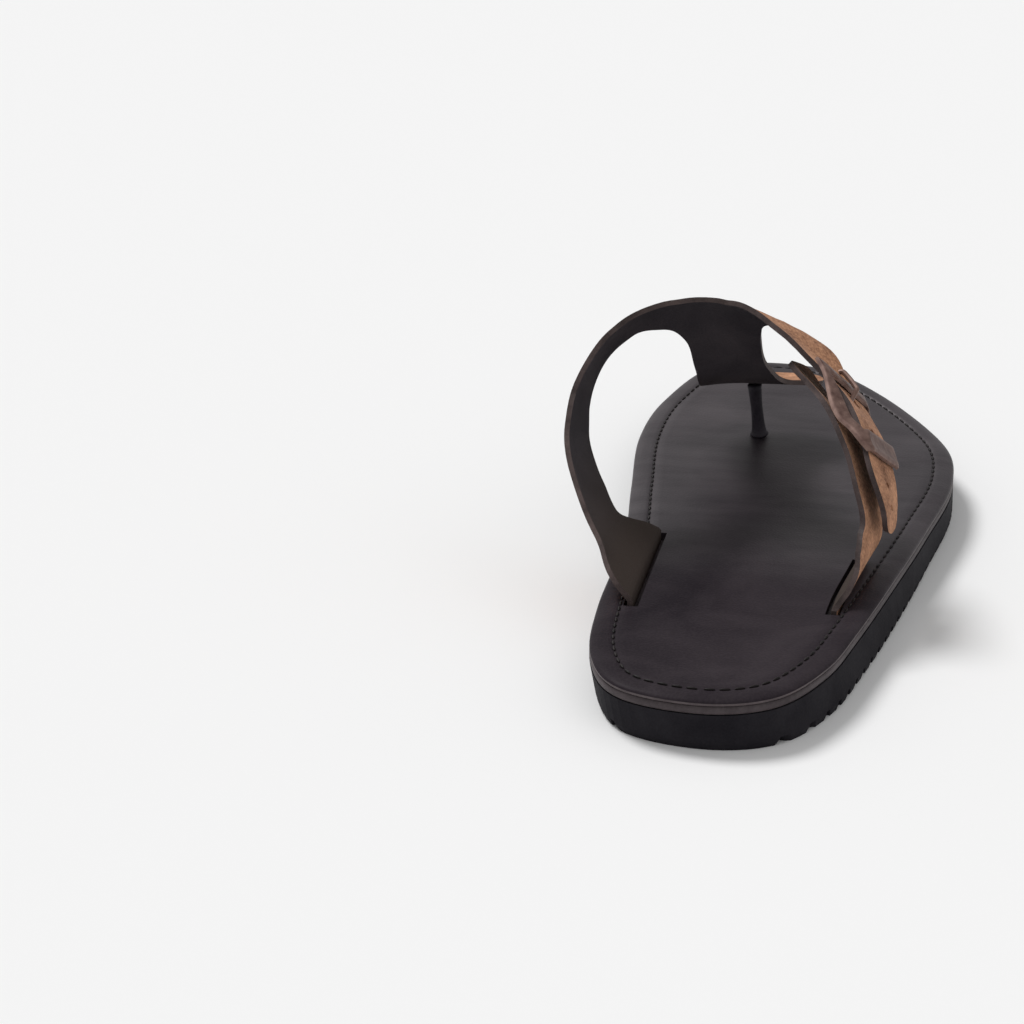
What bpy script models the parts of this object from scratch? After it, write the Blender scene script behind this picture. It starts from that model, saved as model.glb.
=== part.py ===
# Toe post sandal for a right foot: a rippled sole, a slotted leather footbed, a T-shaped
# strap cut in one piece, a short buckle strap, a toe post and a pronged buckle.
# Metres, +Z up, +Y towards the toe, +X towards the outer (lateral) side of the foot.
import math

import bmesh
import bpy
from mathutils import Matrix, Vector

# Driving sizes
LENGTH = 0.285
BALL_WIDTH = 0.103
INSTEP_HEIGHT = 0.066
OUTSOLE = 0.0100
MIDSOLE = 0.0020
FOOTBED = 0.0024
GAP = 0.0003
TOE_SPRING = 0.0035
SPRING_FROM = 0.76
SPRING_CURVE = 1.8
CAP_STRIP = 0.012
TREAD_PITCH = 0.0080
TREAD_GROOVE = 0.0034
TREAD_DEPTH = 0.0022
TREAD_WAVE = 0.0016
TREAD_WAVE_LENGTH = 0.026
SOLE_CHAMFER = 0.0006
SOLE_FLARE = 0.0002
SOLE_LEAN = 0.0020
LEAN_TO = 0.25
LEAN_GONE = 0.60
FOOTBED_ROUND = 0.0062
FOOTBED_RIM = 0.0009
STRAP = 0.0016
SLOT_PLAY = 0.0010
POST_RADIUS = 0.0020
POST_FLARE = 0.0030
CAP_RADIUS = 0.0049
CAP_RISE = 0.0017
BUCKLE_WALL = 0.0013
BUCKLE_BAR = 0.0029
PIN_RADIUS = 0.00085
PRONG_RADIUS = 0.0008
HOLE_RADIUS = 0.0022
LEATHER_GRID = 0.0058

# Heights of the layers above the ground
OUTSOLE_TOP = OUTSOLE
MIDSOLE_LOW = OUTSOLE_TOP + GAP
MIDSOLE_TOP = MIDSOLE_LOW + MIDSOLE
FOOTBED_LOW = MIDSOLE_TOP + GAP
FOOT = FOOTBED_LOW + FOOTBED
TURN = 0.050

# Sole outline, counter-clockwise from the heel: (share of ball width, share of length)
OUTLINE = (
    (0.009, -0.004), (0.194, 0.022), (0.307, 0.097), (0.369, 0.192), (0.441, 0.333),
    (0.513, 0.487), (0.567, 0.639), (0.520, 0.768), (0.303, 0.912), (0.054, 0.991),
    (-0.268, 0.977), (-0.405, 0.860), (-0.437, 0.725), (-0.396, 0.556), (-0.353, 0.394),
    (-0.351, 0.213), (-0.320, 0.093), (-0.217, 0.019),
)

# How a quarter of the last turns under from its widest place to the slot
UNDER_DROP = 0.45
UNDER_REACH = 0.22
UNDER_RISE = 0.14

# Sections of the last that the straps are drawn over, from heel to toe.
# at: share of length. Positions x: share of ball width. Heights h: share of instep height,
# above the footbed. full: how far the arch keeps its width before it turns over.
SECTIONS = (
    # at, ridge x, ridge h, medial x, medial h, lateral x, lateral h, slot m, slot l, full m, l
    (0.175, -0.097, 1.303, -0.476, 0.515, 0.335, 0.258, -0.267, 0.282, 0.60, 0.22),
    (0.263, -0.117, 1.242, -0.500, 0.561, 0.372, 0.258, -0.266, 0.296, 0.60, 0.22),
    (0.351, -0.126, 1.174, -0.515, 0.576, 0.408, 0.242, -0.264, 0.325, 0.60, 0.27),
    (0.414, -0.136, 1.126, -0.515, 0.545, 0.429, 0.235, -0.262, 0.345, 0.60, 0.27),
    (0.470, -0.136, 1.080, -0.502, 0.508, 0.440, 0.227, -0.264, 0.354, 0.60, 0.19),
    (0.516, -0.133, 1.000, -0.485, 0.455, 0.443, 0.205, -0.267, 0.359, 0.60, 0.20),
    (0.554, -0.126, 0.871, -0.466, 0.394, 0.441, 0.182, -0.268, 0.359, 0.60, 0.44),
    (0.589, -0.117, 0.720, -0.447, 0.333, 0.437, 0.152, -0.270, 0.359, 0.60, 0.52),
    (0.632, -0.102, 0.545, -0.422, 0.258, 0.432, 0.121, -0.272, 0.359, 0.58, 0.50),
    (0.674, -0.087, 0.409, -0.408, 0.182, 0.427, 0.091, -0.272, 0.359, 0.56, 0.52),
    (0.723, -0.068, 0.326, -0.388, 0.121, 0.427, 0.061, -0.272, 0.350, 0.55, 0.55),
    (0.789, -0.058, 0.273, -0.369, 0.091, 0.408, 0.045, -0.262, 0.340, 0.55, 0.55),
)

# Edges of the upper's pattern: (turn round the last, share of length). A turn of 0 is the
# ridge, -1 and 1 the widest places of the inner and outer side, -2 and 2 the slots.
REAR_EDGE = (
    (-2, 0.21), (-1.76, 0.222), (-1.565, 0.269), (-1.37, 0.306), (-1.19, 0.339),
    (-1, 0.372), (-0.8, 0.418), (-0.58, 0.464), (-0.4, 0.497), (-0.24, 0.514),
    (0, 0.524), (0.1, 0.52), (0.19, 0.508), (0.275, 0.492), (0.356, 0.476),
    (0.458, 0.463), (0.55, 0.435), (0.651, 0.392), (0.719, 0.36), (0.801, 0.338),
    (0.9, 0.329),
)
TIP_EDGE = (
    (1, 0.327), (1.1, 0.332), (1.17, 0.347), (1.175, 0.366),
)
OUTER_FRONT_EDGE = (
    (1.11, 0.376), (1.02, 0.383), (0.92, 0.393), (0.81, 0.418), (0.7, 0.460),
    (0.6, 0.508), (0.5, 0.536), (0.38, 0.55), (0.27, 0.553), (0.19, 0.556),
)
STEM_EDGE = (
    (0.142, 0.564), (0.116, 0.583), (0.106, 0.607), (0.107, 0.632), (0.12, 0.655),
    (0.138, 0.682), (0.178, 0.704), (0.236, 0.72), (0.266, 0.742), (0.24, 0.768),
    (0.15, 0.782), (-0.02, 0.786), (-0.19, 0.782), (-0.31, 0.766), (-0.352, 0.738),
    (-0.345, 0.708), (-0.312, 0.68), (-0.28, 0.652), (-0.262, 0.628), (-0.24, 0.602),
    (-0.245, 0.585), (-0.285, 0.568),
)
INNER_FRONT_EDGE = (
    (-0.367, 0.5546), (-0.492, 0.5386), (-0.6, 0.529), (-0.753, 0.507), (-0.874, 0.489),
    (-0.975, 0.474), (-1.1, 0.46), (-1.222, 0.438), (-1.336, 0.418), (-1.445, 0.3945),
    (-1.54, 0.372), (-1.63, 0.362), (-1.72, 0.374), (-1.85, 0.397), (-2, 0.409),
)

# Short strap that carries the buckle: from the outer slot up to its rounded free end
SHORT_STRAP = (
    (2, 0.222), (1.72, 0.238), (1.45, 0.258), (1.24, 0.281), (0.995, 0.305),
    (0.825, 0.327), (0.734, 0.351), (0.656, 0.373), (0.574, 0.404), (0.507, 0.435),
    (0.452, 0.459), (0.416, 0.480), (0.408, 0.502), (0.430, 0.519), (0.480, 0.517),
    (0.55, 0.496), (0.64, 0.464), (0.76, 0.430), (0.93, 0.402), (1.15, 0.386),
    (1.4, 0.377), (1.7, 0.372), (2, 0.368),
)

# Places along the long strap, as turns at its rear edge
CROSS_SKEW = 0.130
TOP_BAR_AT = 0.471
PLATE_END_AT = 0.752
FRONT_SHARE = 0.82
PIN_AT = 0.600
PRONG_HOLE_AT = 0.535
HOLE_STRETCH = 0.014

# Sides of the buckle's frame, from the top bar's outer edge to the plate's outer edge, as
# shares of the bar's width. A reach is measured out from the strap's edge, a sink down from
# the line of the bars. The window runs from the second row to the last but one.
FRAME_STEPS = 12
FRAME_SIDES = (
    # at, rear: reach out, in, sink out, in; front: reach out, in, sink out, in
    (0.00, 0.75, 0.40, 0.00, 0.00, 0.65, 0.30, 0.00, 0.00),
    (0.16, 1.10, 0.45, 0.50, 0.20, 0.85, 0.35, 0.35, 0.20),
    (0.40, 1.50, 0.50, 1.75, 0.85, 1.00, 0.40, 1.30, 0.90),
    (0.60, 1.45, 0.45, 1.90, 1.00, 1.00, 0.40, 1.35, 0.95),
    (0.76, 1.05, 0.35, 1.15, 0.30, 0.70, 0.30, 0.45, 0.20),
    (1.00, 0.55, 0.30, 0.30, 0.10, 0.35, 0.20, 0.10, 0.05),
)

# Lifts above the last, of the lining side of each strap and of the buckle
INNER_LIFT = -0.0014
INNER_TO = 0.30
TIP_FREE_FROM = 0.95
TIP_FREE_TURNS = 0.30
TIP_FREE = 0.0015
PIN_LIFT = -(GAP + PIN_RADIUS)
TAB_DROP = 0.0013
TAB_LIFT = -(GAP * 2 + PIN_RADIUS * 2 + STRAP + TAB_DROP)
TAB_FROM = 1.60
TAB_TURNS = 0.60
FRAME_LIFT = STRAP + GAP * 1.3

# Where the toe post stands and leans to, and where its cap sits on the wing
# (share of ball width or turn, share of length)
POST_AT = (-0.058, 0.744)
POST_TOP = (-0.025, 0.738)
CAP_AT = (0.012, 0.727)


def clear_scene():
    for obj in list(bpy.data.objects):
        bpy.data.objects.remove(obj, do_unlink=True)


def collection(name):
    group = bpy.data.collections.new(name)
    bpy.context.scene.collection.children.link(group)
    return group


clear_scene()
SANDAL = collection("toe_post_sandal")
CUTTERS = collection("cutters")


def material(name, color, roughness, metallic=0.0):
    mat = bpy.data.materials.new(name)
    mat.use_nodes = True
    shader = mat.node_tree.nodes["Principled BSDF"]
    shader.inputs["Base Color"].default_value = (*color, 1.0)
    shader.inputs["Roughness"].default_value = roughness
    shader.inputs["Metallic"].default_value = metallic
    return mat


RUBBER = material("sole_rubber", (0.016, 0.015, 0.018), 0.75)
BAND = material("midsole_leather", (0.078, 0.066, 0.070), 0.60)
INSOLE = material("footbed_leather", (0.022, 0.020, 0.022), 0.42)
SUEDE = material("brown_suede", (0.235, 0.135, 0.085), 0.90)
CORD = material("post_leather", (0.018, 0.016, 0.018), 0.55)
METAL = material("antique_brass", (0.200, 0.110, 0.085), 0.38, 0.85)


def link(mesh, name, mat, group=SANDAL):
    obj = bpy.data.objects.new(name, mesh)
    group.objects.link(obj)
    if mat:
        mesh.materials.append(mat)
    return obj


def mesh_from(bm, name):
    mesh = bpy.data.meshes.new(name)
    bm.to_mesh(mesh)
    bm.free()
    return mesh


def cutter(mesh, name):
    obj = link(mesh, name, None, CUTTERS)
    obj.hide_render = True
    obj.display_type = "WIRE"
    return obj


def cut(obj, tool):
    mod = obj.modifiers.new(tool.name, "BOOLEAN")
    mod.operation = "DIFFERENCE"
    mod.solver = "EXACT"
    mod.object = tool


def shade(obj, angle):
    obj.data.shade_smooth()
    obj.data.set_sharp_from_angle(angle=math.radians(angle))


def smooth_step(value):
    value = min(max(value, 0.0), 1.0)
    return value * value * (3.0 - 2.0 * value)


# Curves through points
def spline(before, start, end, after, share):
    """A point between start and end of a cubic that passes through all four."""
    square = share * share
    cube = square * share
    return (2 * start + (end - before) * share
            + (2 * before - 5 * start + 4 * end - after) * square
            + (3 * start - before - 3 * end + after) * cube) * 0.5


def closed_curve(points, steps):
    count = len(points)
    vectors = [Vector(point) for point in points]
    curve = []
    for index in range(count):
        around = [vectors[(index + offset) % count] for offset in (-1, 0, 1, 2)]
        for step in range(steps):
            curve.append(spline(*around, step / steps))
    return curve


def open_curve(points, steps):
    vectors = [Vector(point) for point in points]
    vectors = [vectors[0] * 2 - vectors[1]] + vectors + [vectors[-1] * 2 - vectors[-2]]
    curve = []
    for index in range(1, len(vectors) - 2):
        for step in range(steps):
            curve.append(spline(*vectors[index - 1:index + 3], step / steps))
    curve.append(vectors[-2])
    return curve


# Sole: one outline, drawn in and raised to the height of each layer
def sole_outline(inset, steps=6):
    curve = closed_curve([(x * BALL_WIDTH, y * LENGTH) for x, y in OUTLINE], steps)
    count = len(curve)
    drawn = []
    for index, point in enumerate(curve):
        along = curve[(index + 1) % count] - curve[index - 1]
        outward = Vector((along.y, -along.x)).normalized()
        drawn.append(point - outward * inset)
    return drawn


def spring(y):
    """How far the sole lifts off the ground ahead of the ball."""
    ahead = max(y / LENGTH - SPRING_FROM, 0.0) / (1.0 - SPRING_FROM)
    return TOE_SPRING * ahead ** SPRING_CURVE


def lean(y):
    """The block leans out to the lateral side, most at the heel."""
    return SOLE_LEAN * (1.0 - smooth_step((y / LENGTH - LEAN_TO) / (LEAN_GONE - LEAN_TO)))


def slab(levels):
    """A closed slab: a ring of the outline at each (inset, height, share of the lean)."""
    bm = bmesh.new()
    rings = []
    for inset, height, leaning in levels:
        rings.append([bm.verts.new((p.x + lean(p.y) * leaning, p.y, height))
                      for p in sole_outline(inset)])
    for lower, upper in zip(rings, rings[1:]):
        for index in range(len(lower)):
            after = (index + 1) % len(lower)
            bm.faces.new((lower[index], lower[after], upper[after], upper[index]))
    caps = [bm.faces.new(list(reversed(rings[0]))), bm.faces.new(rings[-1])]
    for number in range(1, int(LENGTH / CAP_STRIP) + 1):
        edges = {edge for face in caps for edge in face.edges}
        verts = {vert for face in caps for vert in face.verts}
        cut_now = bmesh.ops.bisect_plane(
            bm, geom=list(caps) + list(edges) + list(verts), dist=1e-6,
            plane_co=(0, number * CAP_STRIP, 0), plane_no=(0, 1, 0))
        caps = [item for item in cut_now["geom"] if isinstance(item, bmesh.types.BMFace)]
    return bm


def bend(mesh):
    for vert in mesh.vertices:
        vert.co.z += spring(vert.co.y)


def baked(obj):
    """The object's mesh with its modifiers applied."""
    graph = bpy.context.evaluated_depsgraph_get()
    mesh = bpy.data.meshes.new_from_object(obj.evaluated_get(graph))
    obj.modifiers.clear()
    obj.data = mesh
    return obj


def tread_cutter():
    """Wavy grooves right across the underside, a tread pitch apart."""
    bm = bmesh.new()
    half = BALL_WIDTH * 0.65
    columns = 15
    for number in range(1, int(LENGTH / TREAD_PITCH) + 1):
        middle = number * TREAD_PITCH
        rings = []
        for column in range(columns + 1):
            x = -half + 2 * half * column / columns
            y = middle + TREAD_WAVE * math.sin(2 * math.pi * x / TREAD_WAVE_LENGTH)
            top = TREAD_GROOVE * 0.30
            low = TREAD_GROOVE * 0.62
            rings.append([bm.verts.new(corner) for corner in (
                (x, y - low, -0.001), (x, y + low, -0.001),
                (x, y + top, TREAD_DEPTH), (x, y - top, TREAD_DEPTH))])
        for near, far in zip(rings, rings[1:]):
            for side in range(4):
                after = (side + 1) % 4
                bm.faces.new((near[side], near[after], far[after], far[side]))
        bm.faces.new(list(reversed(rings[0])))
        bm.faces.new(rings[-1])
    bmesh.ops.recalc_face_normals(bm, faces=bm.faces)
    return cutter(mesh_from(bm, "tread_grooves"), "tread_grooves")


def build_outsole():
    levels = (
        (SOLE_CHAMFER - SOLE_FLARE, 0.0, 1.0), (-SOLE_FLARE, OUTSOLE * 0.18, 0.9),
        (0.0, OUTSOLE_TOP, 0.0),
    )
    outsole = link(mesh_from(slab(levels), "outsole"), "outsole", RUBBER)
    cut(outsole, tread_cutter())
    baked(outsole)
    bend(outsole.data)
    shade(outsole, 35)


def build_midsole():
    levels = ((0.0, MIDSOLE_LOW, 0.0), (0.0, MIDSOLE_TOP, 0.0))
    midsole = link(mesh_from(slab(levels), "midsole"), "midsole", BAND)
    bend(midsole.data)
    shade(midsole, 35)


# Last: sections from heel to toe, each an arch of four quarter turns
def section(y):
    """The section of the last at a place along its length, in metres."""
    at = y / LENGTH
    places = [row[0] for row in SECTIONS]
    at = min(max(at, places[0]), places[-1])
    index = max(number for number in range(len(places) - 1) if places[number] <= at)
    first, second = SECTIONS[index], SECTIONS[index + 1]
    before = SECTIONS[max(index - 1, 0)]
    after = SECTIONS[min(index + 2, len(SECTIONS) - 1)]
    span = second[0] - first[0]
    share = (at - first[0]) / span
    values = []
    for column in range(1, len(first)):
        rise_in = (second[column] - before[column]) / (second[0] - before[0]) * span
        rise_out = (after[column] - first[column]) / (after[0] - first[0]) * span
        values.append(
            (2 * share ** 3 - 3 * share ** 2 + 1) * first[column]
            + (share ** 3 - 2 * share ** 2 + share) * rise_in
            + (3 * share ** 2 - 2 * share ** 3) * second[column]
            + (share ** 3 - share ** 2) * rise_out)
    return values


SLOT_RISE = 0.0008


def last_point(turn, y):
    """A point of the last. Beyond 2 turns it goes straight down into a slot."""
    ridge_x, ridge_h, in_x, in_h, out_x, out_h, slot_in, slot_out, full_in, full_out = section(y)
    ridge = Vector((ridge_x * BALL_WIDTH, ridge_h * INSTEP_HEIGHT))
    if turn < 0:
        wide = Vector((in_x * BALL_WIDTH, in_h * INSTEP_HEIGHT))
        slot = Vector((slot_in * BALL_WIDTH, SLOT_RISE))
        full = full_in
    else:
        wide = Vector((out_x * BALL_WIDTH, out_h * INSTEP_HEIGHT))
        slot = Vector((slot_out * BALL_WIDTH, SLOT_RISE))
        full = full_out
    around = abs(turn)
    if around > 2:
        return Vector((slot.x, y, FOOT + SLOT_RISE - (around - 2) * TURN))
    if around <= 1:
        handle_a = ridge + Vector((full * (wide.x - ridge.x), 0))
        handle_b = wide + Vector((0, full * (ridge.y - wide.y)))
        ends = (ridge, handle_a, handle_b, wide)
    else:
        around -= 1
        handle_a = wide - Vector((0, UNDER_DROP * wide.y))
        handle_b = slot + Vector((UNDER_REACH * (wide.x - slot.x), UNDER_RISE * wide.y))
        ends = (wide, handle_a, handle_b, slot)
    left = 1 - around
    point = (ends[0] * left ** 3 + ends[1] * 3 * left * left * around
             + ends[2] * 3 * left * around * around + ends[3] * around ** 3)
    return Vector((point.x, y, FOOT + point.y))


def last_normal(turn, y):
    """The outward direction of the last."""
    round_it = last_point(turn + 0.012, y) - last_point(turn - 0.012, y)
    along_it = last_point(turn, y + 0.0006) - last_point(turn, y - 0.0006)
    return round_it.cross(along_it).normalized()


def long_lift(turn):
    """The sheet lies inside the last, comes out to it at the side, and its tip hangs free."""
    inside = INNER_LIFT * (1.0 - smooth_step(turn / INNER_TO))
    return inside + TIP_FREE * smooth_step((turn - TIP_FREE_FROM) / TIP_FREE_TURNS)


def tab_lift(turn):
    """The short strap passes inside the long one, with the buckle's pin between them."""
    return TAB_LIFT * smooth_step((TAB_FROM - turn) / TAB_TURNS)


def lay(bm, lift, wall):
    """Lay a flat pattern over the last: z 0 is the lining side and z 1 the face."""
    for vert in bm.verts:
        turn = vert.co.x / TURN
        y = vert.co.y
        height = lift(turn) + vert.co.z * wall
        vert.co = last_point(turn, y) + last_normal(turn, y) * height


def cut_pattern(outline):
    """A flat piece of leather with its outline, crossed by a grid so that it can bend."""
    bm = bmesh.new()
    bm.faces.new([bm.verts.new((turn * TURN, y, 0)) for turn, y in outline])
    low = min(vert.co.x for vert in bm.verts)
    high = max(vert.co.x for vert in bm.verts)
    near = min(vert.co.y for vert in bm.verts)
    far = max(vert.co.y for vert in bm.verts)
    planes = [((low + LEATHER_GRID * (number + 0.5), 0, 0), (1, 0, 0))
              for number in range(int((high - low) / LEATHER_GRID))]
    planes += [((0, near + LEATHER_GRID * (number + 0.5), 0), (0, 1, 0))
               for number in range(int((far - near) / LEATHER_GRID))]
    planes += [((side * 2 * TURN, 0, 0), (1, 0, 0)) for side in (-1, 1)]
    for place, direction in planes:
        geometry = bm.verts[:] + bm.edges[:] + bm.faces[:]
        bmesh.ops.bisect_plane(bm, geom=geometry, dist=1e-5, plane_co=place, plane_no=direction)
    bmesh.ops.remove_doubles(bm, verts=bm.verts, dist=0.0004)
    bmesh.ops.dissolve_degenerate(bm, edges=bm.edges, dist=0.0003)
    return bm


def thicken(bm):
    """Give the flat pattern its second side, one unit above the first."""
    grown = bmesh.ops.extrude_face_region(bm, geom=bm.faces[:])
    for item in grown["geom"]:
        if isinstance(item, bmesh.types.BMVert):
            item.co.z += 1.0
    bmesh.ops.recalc_face_normals(bm, faces=bm.faces)


def strap_piece(name, outline, lift, wall, mat):
    bm = cut_pattern(outline)
    thicken(bm)
    lay(bm, lift, wall)
    return link(mesh_from(bm, name), name, mat)


def pattern(points):
    return [(turn, at * LENGTH) for turn, at in points]


TAIL_TURN = (FOOTBED + SLOT_RISE) / TURN


def upper_outline():
    smooth = (REAR_EDGE + TIP_EDGE + OUTER_FRONT_EDGE + STEM_EDGE + INNER_FRONT_EDGE)
    curve = [tuple(point) for point in open_curve(pattern(smooth), 2)]
    slot_front, slot_rear = curve[-1], curve[0]
    return curve + [(slot_front[0] - TAIL_TURN, slot_front[1]),
                    (slot_rear[0] - TAIL_TURN, slot_rear[1])]


def short_outline():
    curve = [tuple(point) for point in open_curve(pattern(SHORT_STRAP), 2)]
    return curve + [(curve[-1][0] + TAIL_TURN, curve[-1][1]),
                    (curve[0][0] + TAIL_TURN, curve[0][1])]


# Where the buckle crosses the long strap
def edge_at(edge, turn):
    """The place along the length of an edge of the long strap, at a turn."""
    for (low, low_y), (high, high_y) in zip(edge, edge[1:]):
        if low <= turn <= high:
            return (low_y + (high_y - low_y) * (turn - low) / (high - low)) * LENGTH
    end = edge[0] if turn < edge[0][0] else edge[-1]
    return end[1] * LENGTH


OUTER_REAR = open_curve([row for row in REAR_EDGE if row[0] > 0.1], 4)
OUTER_FRONT = open_curve(list(reversed(OUTER_FRONT_EDGE)), 4)


def across(turn, share):
    """A place across the long strap: share 0 is its rear edge and 1 its front edge."""
    rear = Vector((turn, edge_at(OUTER_REAR, turn)))
    front_turn = turn + CROSS_SKEW
    front = Vector((front_turn, edge_at(OUTER_FRONT, front_turn)))
    return rear + (front - rear) * share


def over_last(turn, y, lift):
    return last_point(turn, y) + last_normal(turn, y) * lift


def strap_width():
    turn, y = across(PIN_AT, 0.0)
    front_turn, front_y = across(PIN_AT, 1.0)
    return (last_point(turn, y) - last_point(front_turn, front_y)).length


WIDTH_HERE = strap_width()


def turns(metres):
    """A length along the strap at the buckle, as turns of the last."""
    turn, y = across(PIN_AT, 0.5)
    step = 0.02
    return metres * step / (last_point(turn + step, y) - last_point(turn, y)).length


def across_way():
    """The direction of the buckle's bars, straight across the strap."""
    rear = last_point(*across(PIN_AT, 0.0))
    front = last_point(*across(PIN_AT, 1.0))
    return (front - rear).normalized()


ACROSS = across_way()


def buckle_seat(turn):
    """The middle of the strap at a turn, and the buckle's outward direction there."""
    here = last_point(*across(turn, 0.5))
    along = last_point(*across(turn + 0.012, 0.5)) - last_point(*across(turn - 0.012, 0.5))
    normal = along.cross(ACROSS).normalized()
    if normal.dot(last_normal(*across(turn, 0.5))) < 0:
        normal = -normal
    return here, normal


def strap_height(turn, share):
    """How high the last stands at a place across the strap, above its middle."""
    here, normal = buckle_seat(turn)
    return (last_point(*across(turn, share)) - here).dot(normal)


def strap_edge(turn, share):
    """How far along the buckle's bars an edge of the strap lies from its middle."""
    here, _ = buckle_seat(turn)
    return (last_point(*across(turn, share)) - here).dot(ACROSS)


def bar_height(turn, away):
    """Underside of a straight bar that lies on the strap there, tilted as the strap is."""
    rear, front = strap_height(turn, 0.0), strap_height(turn, 1.0)
    near, far = strap_edge(turn, 0.0), strap_edge(turn, 1.0)
    crown = max(strap_height(turn, share) - (rear + (front - rear) * share)
                for share in (0.25, 0.5, 0.75))
    return rear + (front - rear) * (away - near) / (far - near) + max(crown, 0.0) + FRAME_LIFT


RAILS = open_curve(FRAME_SIDES, 6)


def frame_turn(at, share):
    """The turn at a place along the frame: the front side is a little shorter."""
    return TOP_BAR_AT + (PLATE_END_AT - TOP_BAR_AT) * at * (1 - (1 - FRONT_SHARE) * share)


def rail(at, front, inner):
    """A side of the frame: its place across and its sink, in metres."""
    index = max(number for number in range(len(RAILS) - 1) if RAILS[number][0] <= at)
    low, high = RAILS[index], RAILS[index + 1]
    share = (at - low[0]) / (high[0] - low[0])
    column = 1 + 4 * front + inner
    reach, sink = (low[place] + (high[place] - low[place]) * share
                   for place in (column, column + 2))
    away = strap_edge(frame_turn(at, front), float(front))
    return away + (reach if front else -reach) * BUCKLE_BAR, sink * BUCKLE_BAR


def bar_place(at, share, inner):
    """A place across a bar. The sink of its ends is gone where the strap begins."""
    (rear, rear_sink), (front, front_sink) = rail(at, 0, inner), rail(at, 1, inner)
    away = rear + (front - rear) * share
    turn = frame_turn(at, share)
    near, far = strap_edge(turn, 0.0), strap_edge(turn, 1.0)
    sink = (rear_sink * smooth_step((near - away) / (near - rear))
            + front_sink * smooth_step((away - far) / (front - far)))
    return turn, away, sink


def frame_loop(start, end, inner):
    """Round one edge of the frame, as (turn, place across, sink)."""
    loop = []
    for step in range(FRAME_STEPS):
        at = start + (end - start) * step / FRAME_STEPS
        loop.append((frame_turn(at, 0), *rail(at, 0, inner)))
    loop += [bar_place(end, step / FRAME_STEPS, inner) for step in range(FRAME_STEPS)]
    for step in range(FRAME_STEPS):
        at = end + (start - end) * step / FRAME_STEPS
        loop.append((frame_turn(at, 1), *rail(at, 1, inner)))
    loop += [bar_place(start, 1 - step / FRAME_STEPS, inner) for step in range(FRAME_STEPS)]
    return loop


def frame_point(turn, away, sink, height):
    here, normal = buckle_seat(turn)
    return here + ACROSS * away + normal * (bar_height(turn, away) - sink + height)


def build_frame():
    """A bowed ring with a wide plate. Its sides sink past the strap, down to the pin."""
    loops = (frame_loop(0.0, 1.0, 0),
             frame_loop(FRAME_SIDES[1][0], FRAME_SIDES[-2][0], 1))
    bm = bmesh.new()
    levels = [[[bm.verts.new(frame_point(*place, height)) for place in loop] for loop in loops]
              for height in (0.0, BUCKLE_WALL)]
    (low_out, low_in), (high_out, high_in) = levels
    for index in range(len(low_out)):
        after = (index + 1) % len(low_out)
        bm.faces.new((high_out[index], high_out[after], high_in[after], high_in[index]))
        bm.faces.new((low_in[index], low_in[after], low_out[after], low_out[index]))
        bm.faces.new((low_out[index], low_out[after], high_out[after], high_out[index]))
        bm.faces.new((high_in[index], high_in[after], low_in[after], low_in[index]))
    bmesh.ops.recalc_face_normals(bm, faces=bm.faces)
    return bm


def tube(name, points, radius, resolution):
    """A round bar along points, as a welded mesh."""
    curve = bpy.data.curves.new(name, "CURVE")
    curve.dimensions = "3D"
    curve.bevel_depth = radius
    curve.bevel_resolution = resolution
    curve.use_fill_caps = True
    line = curve.splines.new("POLY")
    line.points.add(len(points) - 1)
    for point, place in zip(line.points, points):
        point.co = (*place, 1.0)
    guide = bpy.data.objects.new(name + "_path", curve)
    SANDAL.objects.link(guide)
    graph = bpy.context.evaluated_depsgraph_get()
    mesh = bpy.data.meshes.new_from_object(guide.evaluated_get(graph))
    bpy.data.objects.remove(guide, do_unlink=True)
    bm = bmesh.new()
    bm.from_mesh(mesh)
    bmesh.ops.remove_doubles(bm, verts=bm.verts, dist=1e-6)
    bmesh.ops.recalc_face_normals(bm, faces=bm.faces)
    bm.to_mesh(mesh)
    bm.free()
    mesh.name = name
    return mesh


def build_buckle():
    frame = link(mesh_from(build_frame(), "buckle_frame"), "buckle_frame", METAL)
    pin_points = [over_last(*across(PIN_AT, share), PIN_LIFT)
                  for share in (0.0, 0.2, 0.4, 0.6, 0.8, 1.0)]
    at = (PIN_AT - TOP_BAR_AT) / (PLATE_END_AT - TOP_BAR_AT)
    ends = []
    for front in (0, 1):
        corners = [frame_point(frame_turn(at, front), *rail(at, front, inner), BUCKLE_WALL / 2)
                   for inner in (0, 1)]
        ends.append(corners[0].lerp(corners[1], 0.5))
    pin_points = [ends[0]] + pin_points + [ends[1]]
    pin = cutter(tube("pin_form", pin_points, PIN_RADIUS, 2), "pin_form")
    mod = frame.modifiers.new("pin", "BOOLEAN")
    mod.operation = "UNION"
    mod.solver = "EXACT"
    mod.object = pin
    shade(frame, 35)


def round_bar(edge, degrees):
    """A place of the prong's middle, going round an edge of the top bar."""
    clear = PRONG_RADIUS + GAP * 1.3
    turn = edge + turns(clear * math.cos(math.radians(degrees)))
    lift = bar_height(edge, 0.0) + BUCKLE_WALL + clear * math.sin(math.radians(degrees))
    return turn, lift


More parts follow.
